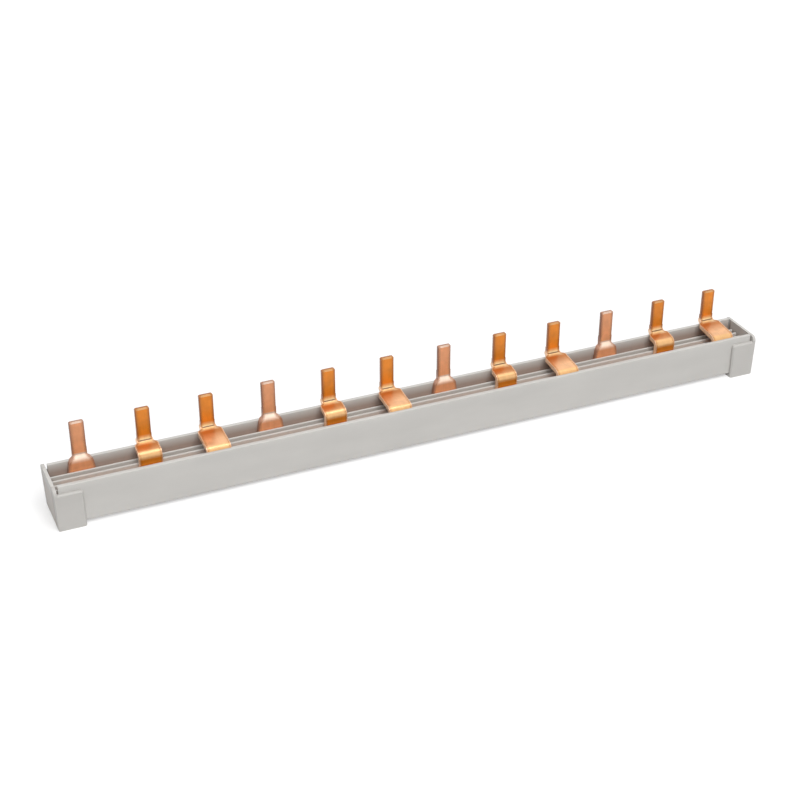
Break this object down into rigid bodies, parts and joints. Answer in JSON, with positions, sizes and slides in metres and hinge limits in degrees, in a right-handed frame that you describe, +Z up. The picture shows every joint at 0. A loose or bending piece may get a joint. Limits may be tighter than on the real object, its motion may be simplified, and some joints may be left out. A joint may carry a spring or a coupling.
{
  "type": "comb busbar",
  "caption": "Comb busbar: stamped and bent copper combs hold a row of upright pins in a grey plastic trough with end caps.",
  "frame": {"origin": "middle of the strip's length and depth, in the plane of the end caps' undersides", "axes": "+X along the strip towards pin 12, +Y from the front wall to the back wall beside which the pins stand, +Z up the pins"},
  "size_m": [0.2164, 0.0148, 0.0247],
  "materials": {
    "grey_plastic": "satin light grey extruded and moulded PVC",
    "dull_copper": null,
    "bright_copper": null
  },
  "bodies": {
    "root": {"trough": "grey_plastic", "rear_comb": "dull_copper", "middle_comb": "bright_copper", "front_comb": "bright_copper", "left_end_cap": "grey_plastic", "right_end_cap": "grey_plastic"}
  },
  "joints": []
}
